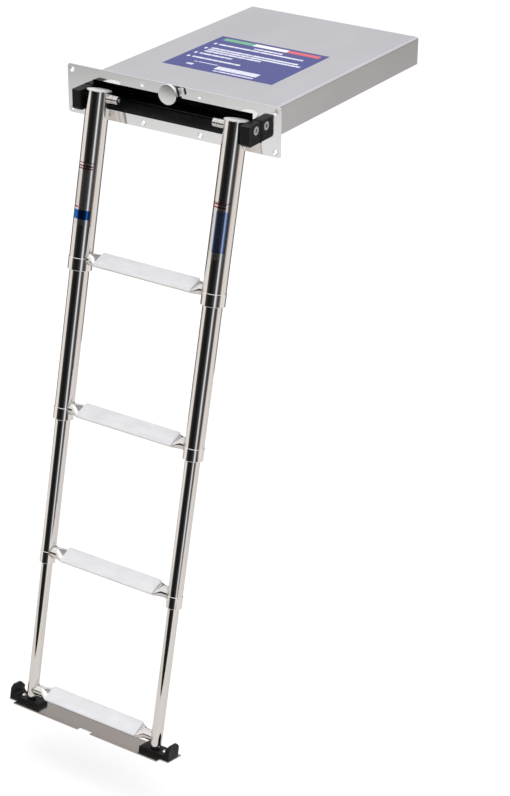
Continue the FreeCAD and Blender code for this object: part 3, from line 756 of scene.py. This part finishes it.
# Tones of the room against the direction, in degrees from straight ahead of the flange (-Y) towards
# +X. At eye level: a dim warm wall behind, pale screens at both sides, a dark room in front, a lamp.
ROOM = (
    (-180, "#7C736E"), (-118, "#5E5650"), (-102, "#4A4542"), (-94, "#F2ECE7"), (-50, "#F4F0EC"),
    (-42, "#5A5856"), (-30, "#303030"), (-14, "#1C1C1C"), (14, "#202020"), (34, "#4E4E4E"),
    (41, "#B4B8BE"), (46, "#FFFFFF"), (51, "#E4E6EA"), (58, "#74787E"), (72, "#3C3C3E"),
    (84, "#56524E"), (92, "#A49C96"), (100, "#ECE6E1"), (132, "#E8E2DD"), (152, "#8A827C"),
    (180, "#7C736E"),
)
# The ground further off, seen below the horizon: the pale floor, dim straight behind the box.
GROUND = (
    (-180, "#5C5550"), (-104, "#4A4542"), (-94, "#F4F0EC"), (-60, "#F8F7F6"), (10, "#F6F5F4"),
    (120, "#ECE6E1"), (150, "#F4F2F0"), (165, "#A8A09A"), (180, "#5C5550"),
)
CEILING = (1.05, 1.05, 1.07, 1)
# The heights in degrees over which the room gives way to each.
CEILING_BLEND = (6, 22)
GROUND_BLEND = (-14, -20)


def light_room():
    """A pale ceiling overhead and the ground underfoot, with the room's own tones between."""
    world = bpy.data.worlds.new("studio")
    bpy.context.scene.world = world
    world.use_nodes = True
    tree = world.node_tree
    place = add(tree, "TexCoord")
    axes = add(tree, "SeparateXYZ", Vector=(place, "Generated"))
    ahead = add(tree, "Math", {"operation": "MULTIPLY"}, i0=(axes, "Y"), i1=-1.0)
    angle = add(tree, "Math", {"operation": "ARCTAN2"}, i0=(axes, "X"), i1=(ahead, 0))
    turn = add(tree, "MapRange", Value=(angle, 0), From_Min=-math.pi, From_Max=math.pi)
    tones = [ramp(tree, (turn, "Result"), [((degrees + 180) / 360, tone) for degrees, tone in ring])
             for ring in (ROOM, GROUND)]
    shown = (tones[0], "Color")
    for low, high, tone in ((*CEILING_BLEND, CEILING), (*GROUND_BLEND, (tones[1], "Color"))):
        blend = add(tree, "MapRange", {"interpolation_type": "SMOOTHSTEP"}, Value=(axes, "Z"),
                    From_Min=math.sin(math.radians(low)), From_Max=math.sin(math.radians(high)))
        shown = overprint(tree, shown, (blend, "Result"), tone)
    shade = tree.nodes["Background"]
    tree.links.new(shown[0].outputs[shown[1]], shade.inputs["Color"])
    shade.inputs["Strength"].default_value = 1.0


LAMP_AIM = Vector((0, 0, -0.5))


def softbox(name, place, side, power):
    """A square area lamp, turned to face the ladder."""
    data = bpy.data.lights.new(name, "AREA")
    data.shape = "RECTANGLE"
    data.size = data.size_y = side
    data.energy = power
    lamp = bpy.data.objects.new(name, data)
    lamp.location = place
    lamp.rotation_euler = (LAMP_AIM - Vector(place)).to_track_quat("-Z", "Y").to_euler()
    bpy.context.scene.collection.objects.link(lamp)
    return lamp


def stage_plane(name, half, height, colour):
    """A level square of the stage, matt and of one colour."""
    mesh = bpy.data.meshes.new(name)
    corners = [(x * half, y * half, height) for x, y in ((-1, -1), (1, -1), (1, 1), (-1, 1))]
    mesh.from_pydata(corners, [], [(0, 1, 2, 3)])
    plane = bpy.data.objects.new(name, mesh)
    bpy.context.scene.collection.objects.link(plane)
    mesh.materials.append(surface(name, colour, 0.9)[0])
    return plane


FLOOR_BELOW = 0.10
FLOOR_HALF = 60
CARD_HALF = 1.3
CARD_LIFT = 1 * MM


def build_studio():
    """White floor under soft lamps. Mirror surfaces see a smaller, dimmer floor in place of the wide
    one, as a real sweep falls away into the room."""
    floor_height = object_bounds()[0][2] - FLOOR_BELOW
    floor = stage_plane("floor", FLOOR_HALF, floor_height, "#FFFFFF")
    floor.visible_glossy = False
    card = stage_plane("floor_in_reflections", CARD_HALF, floor_height + CARD_LIFT, "#D2CECA")
    card.visible_camera = card.visible_diffuse = card.visible_shadow = False
    softbox("overhead", (0.3, -0.6, 2.6), 3.2, 20)
    softbox("front", (1.2, -3.0, 1.8), 1.4, 6).visible_glossy = False
    softbox("side", (2.4, -0.9, 0.2), 1.4, 12).visible_glossy = False
    place_camera()
    light_room()
    bpy.context.scene.view_settings.view_transform = "Standard"


finish_frame()
make_collars()
make_caps()
make_sleeve_welds()
make_crossbars()
make_treads()
make_knob()
make_box_welds()
make_box_label()
make_tube_labels()
build_studio()
